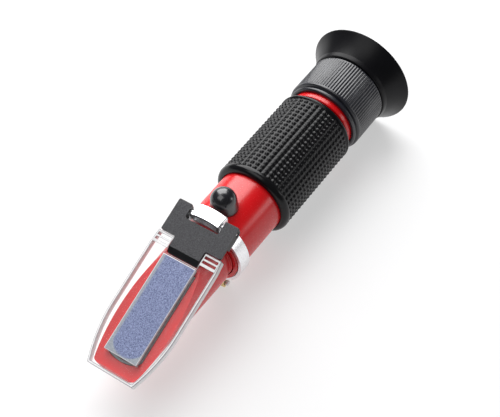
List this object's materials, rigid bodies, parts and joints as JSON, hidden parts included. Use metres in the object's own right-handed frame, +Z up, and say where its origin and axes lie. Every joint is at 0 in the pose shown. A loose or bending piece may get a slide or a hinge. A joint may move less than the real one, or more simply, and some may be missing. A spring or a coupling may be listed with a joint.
{
  "type": "refractometer",
  "caption": "Hand-held tube refractometer: sloped prism under a hinged clear cover, knurled grip, capped calibration screw, focusing eyepiece and rubber eyecup.",
  "frame": {"origin": "on the surface it rests on, under the middle of the instrument's box", "axes": "+X along the optical axis towards the prism end, +Z up, +Y to the left seen from the eyepiece"},
  "size_m": [0.16, 0.0426, 0.0425],
  "materials": {
    "red_anodised": "glossy red anodised aluminium",
    "black_rubber": "satin black rubber",
    "gloss_black_rubber": "glossy black rubber",
    "black_plastic": "finely grained dark moulding",
    "black_moulding": "satin black moulding with fine ribs",
    "polished_steel": "polished, bright",
    "plain_steel": "turned steel",
    "brass": "turned brass",
    "optical_glass": "polished optical glass",
    "clear_acrylic": "clear moulded acrylic, frosted inside the pad",
    "grey_sealant": "cured grey sealant",
    "black_aluminium": "black anodised, turned",
    "bimetal": "two-metal strip"
  },
  "bodies": {
    "barrel": {"main_tube": "red_anodised", "rubber_grip": "black_rubber", "rear_collar": "red_anodised", "prism_box": "red_anodised", "main_prism": "optical_glass", "prism_seal": "grey_sealant", "clamp_band": "polished_steel", "clamp_screw": "plain_steel", "clamp_nut": "brass", "hinge_pin": "plain_steel", "screw_bushing": "brass", "pivot_bracket": "black_aluminium", "arm_pivot_pin": "plain_steel", "arm_spring": "plain_steel", "light_baffle": "black_aluminium", "reticle_cell": "black_aluminium", "reticle_glass": "optical_glass", "reticle_retainer": "black_aluminium"},
    "cover": {"cover_plate": "clear_acrylic", "hinge_block": "black_plastic"},
    "cap": {"screw_cap": "gloss_black_rubber"},
    "thrust": {"thrust_ball": "plain_steel"},
    "screw": {"calibration_screw": "brass"},
    "objective_arm": {"lens_arm": "brass", "bimetal_strip": "bimetal", "objective_cell": "black_aluminium", "objective_flint": "optical_glass", "objective_crown": "optical_glass", "objective_retainer": "black_aluminium"},
    "eyepiece_cell": {"eyepiece_tube": "black_aluminium", "eye_lens": "optical_glass", "lens_spacer": "black_aluminium", "field_lens": "optical_glass", "eyepiece_retainer": "black_aluminium"},
    "focus": {"focus_ring": "black_moulding", "eyecup": "black_rubber"}
  },
  "joints": [
    {"name": "cover_hinge", "type": "hinge", "parent": "barrel", "child": "cover", "pos_m": [0.0216, 0, 0.03645], "axis": [0, -1, 0], "range_deg": [0, 110]},
    {"name": "cap_pull", "type": "slide", "parent": "barrel", "child": "cap", "axis": [0, 0, 1], "range_m": [0, 0.01]},
    {"name": "screw_travel", "type": "slide", "parent": "barrel", "child": "thrust", "axis": [0, 0, 1], "range_m": [-0.00035, 0.00035]},
    {"name": "screw_turn", "type": "hinge", "parent": "thrust", "child": "screw", "pos_m": [0.012, 0, 0.03375], "axis": [0, 0, 1], "range_deg": [-361, 361]},
    {"name": "arm_tilt", "type": "hinge", "parent": "barrel", "child": "objective_arm", "pos_m": [-0.014, 0, 0.02925], "axis": [0, -1, 0], "range_deg": [-0.78, 0.78]},
    {"name": "eyepiece_travel", "type": "slide", "parent": "barrel", "child": "eyepiece_cell", "axis": [1, 0, 0], "range_m": [-0.00121, 0.00121]},
    {"name": "focus_turn", "type": "hinge", "parent": "eyepiece_cell", "child": "focus", "pos_m": [-0.062, 0, 0.02125], "axis": [1, 0, 0], "range_deg": [-150, 150]}
  ],
  "couplings": [
    {"joint": "screw_turn", "follows": "screw_travel", "rad_per_m": 17952},
    {"joint": "arm_tilt", "follows": "screw_travel", "rad_per_m": 38.462},
    {"joint": "eyepiece_travel", "follows": "focus_turn", "m_per_rad": 0.00045836}
  ]
}
